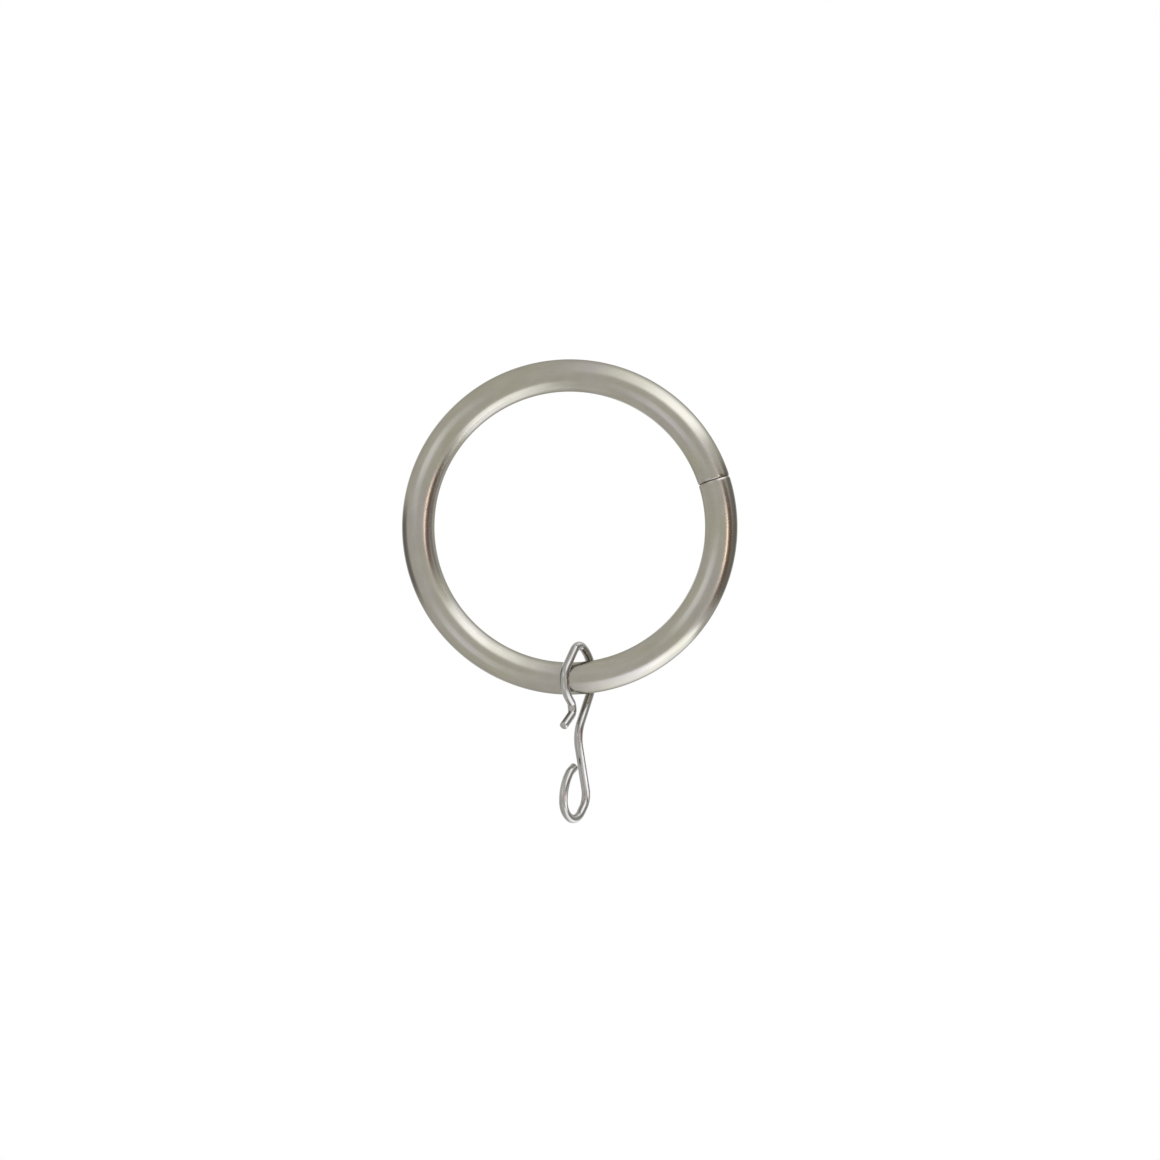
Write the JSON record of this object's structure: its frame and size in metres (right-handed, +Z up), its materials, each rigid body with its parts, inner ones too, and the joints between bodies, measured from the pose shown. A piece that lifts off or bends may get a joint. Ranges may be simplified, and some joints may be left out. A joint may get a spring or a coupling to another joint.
{
  "type": "curtain ring",
  "caption": "Metal curtain ring for a pole: a hollow tube rolled to a circle with a butted seam, and a sprung hook of bent wire with an eye for the curtain.",
  "frame": {"origin": "centre of the ring, on the axis of the pole that it rides on", "axes": "+Y along the pole, away from the viewer; +Z up as the ring hangs; +X to the right, in the plane of the ring"},
  "size_m": [0.062, 0.01, 0.0857],
  "materials": {
    "satin_nickel": "satin nickel plating on steel tube",
    "bright_wire": "bright nickel plating on spring steel wire"
  },
  "bodies": {
    "ring": {"ring_tube": "satin_nickel"},
    "hook": {"wire_hook": "bright_wire"}
  },
  "joints": [
    {"name": "hook_swing", "type": "hinge", "parent": "ring", "child": "hook", "pos_m": [0.00156, 0, -0.02796], "axis": [0.9984, 0, 0.0558], "continuous": true}
  ]
}
